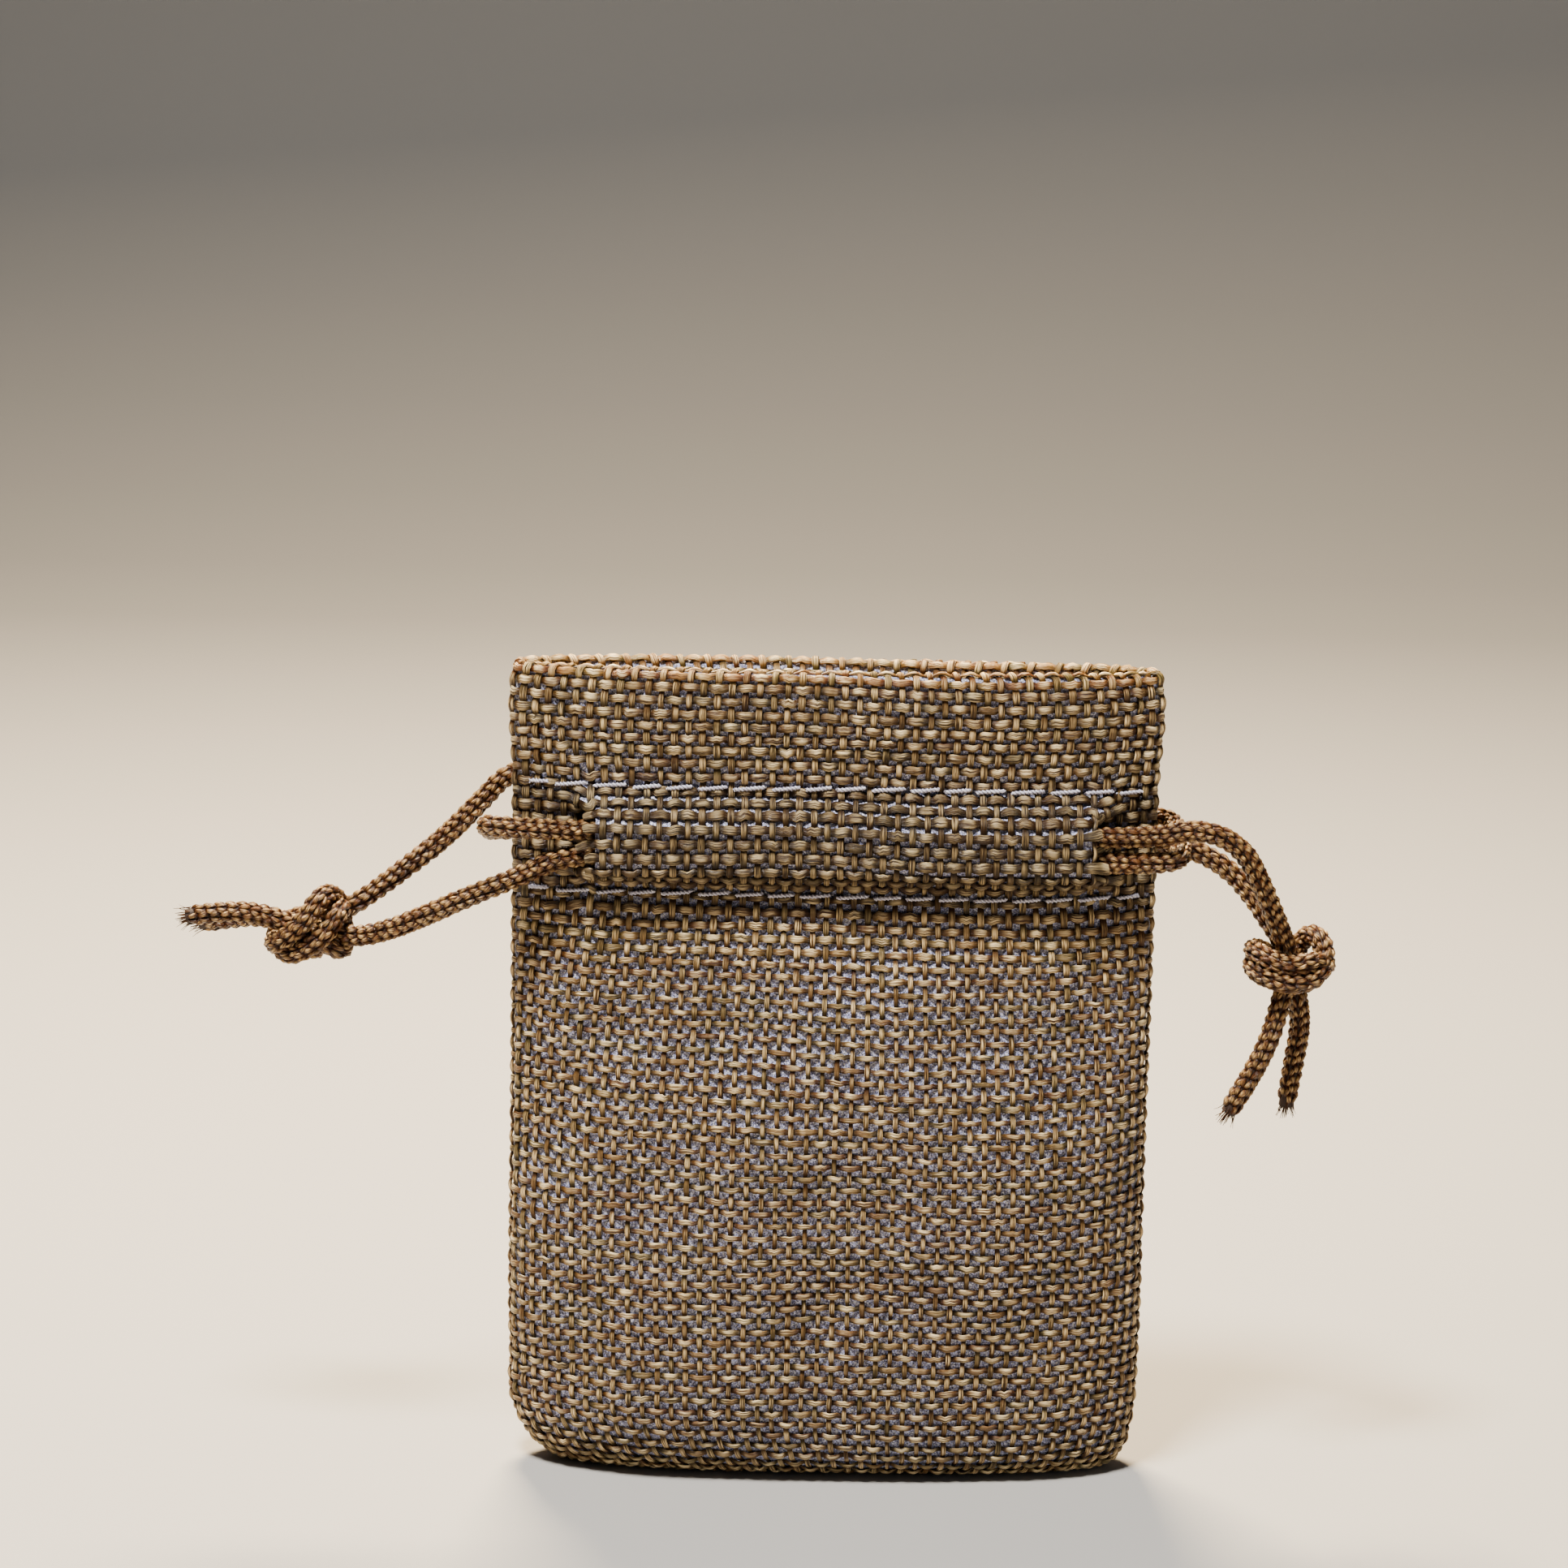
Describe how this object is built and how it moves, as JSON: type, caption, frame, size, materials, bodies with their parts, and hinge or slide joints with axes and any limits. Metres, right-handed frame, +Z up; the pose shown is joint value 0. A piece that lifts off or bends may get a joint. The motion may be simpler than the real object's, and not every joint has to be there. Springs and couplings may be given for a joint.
{
  "type": "drawstring pouch",
  "caption": "Small standing double-drawcord pouch of coarse open-weave cloth with a hemmed mouth, sewn casing and knotted cords.",
  "frame": {"origin": "under the middle of the cloth body, on the surface that the pouch stands on", "axes": "+X to the right along the mouth, +Y to the back, +Z up from the base fold to the mouth"},
  "size_m": [0.1233, 0.021, 0.09],
  "materials": {
    "cloth": "coarse open plain weave of flat glossy yarns in tan, olive and red-brown",
    "lining": "crinkled pale lavender backing film",
    "thread": "glossy two-ply sewing thread",
    "cord": "satin knitted golden-brown cord"
  },
  "bodies": {
    "pouch": {"front_panel": "cloth", "back_panel": "cloth", "bottom_fold": "cloth", "front_hem": "cloth", "back_hem": "cloth", "lining_film": "lining", "left_seam_allowance": "cloth", "right_seam_allowance": "cloth", "left_overlock_thread": "thread", "right_overlock_thread": "thread", "front_upper_stitching": "thread", "front_lower_stitching": "thread", "back_upper_stitching": "thread", "back_lower_stitching": "thread", "left_cord_wrap": "cord", "right_cord_wrap": "cord"},
    "left_drawcord": {"left_cord_front_run": "cord", "left_cord_back_run": "cord"},
    "left_loop": {"left_cord_front_strand": "cord", "left_cord_back_strand": "cord", "left_knot": "cord", "left_tail_front": "cord", "left_tail_back": "cord"},
    "right_drawcord": {"right_cord_front_run": "cord", "right_cord_back_run": "cord"},
    "right_loop": {"right_cord_front_strand": "cord", "right_cord_back_strand": "cord", "right_knot": "cord", "right_tail_front": "cord", "right_tail_back": "cord"}
  },
  "joints": [
    {"name": "left_draw", "type": "slide", "parent": "pouch", "child": "left_drawcord", "axis": [-1, 0, 0], "range_m": [0, 0.015]},
    {"name": "left_swing", "type": "hinge", "parent": "left_drawcord", "child": "left_loop", "pos_m": [-0.0388, -0.0053, 0.065], "axis": [0, 0.8101, 0.5863], "range_deg": [-40, 60]},
    {"name": "right_draw", "type": "slide", "parent": "pouch", "child": "right_drawcord", "axis": [1, 0, 0], "range_m": [0, 0.015]},
    {"name": "right_swing", "type": "hinge", "parent": "right_drawcord", "child": "right_loop", "pos_m": [0.0388, -0.0054, 0.0738], "axis": [0, -0.9218, 0.3877], "range_deg": [-10, 80]}
  ]
}
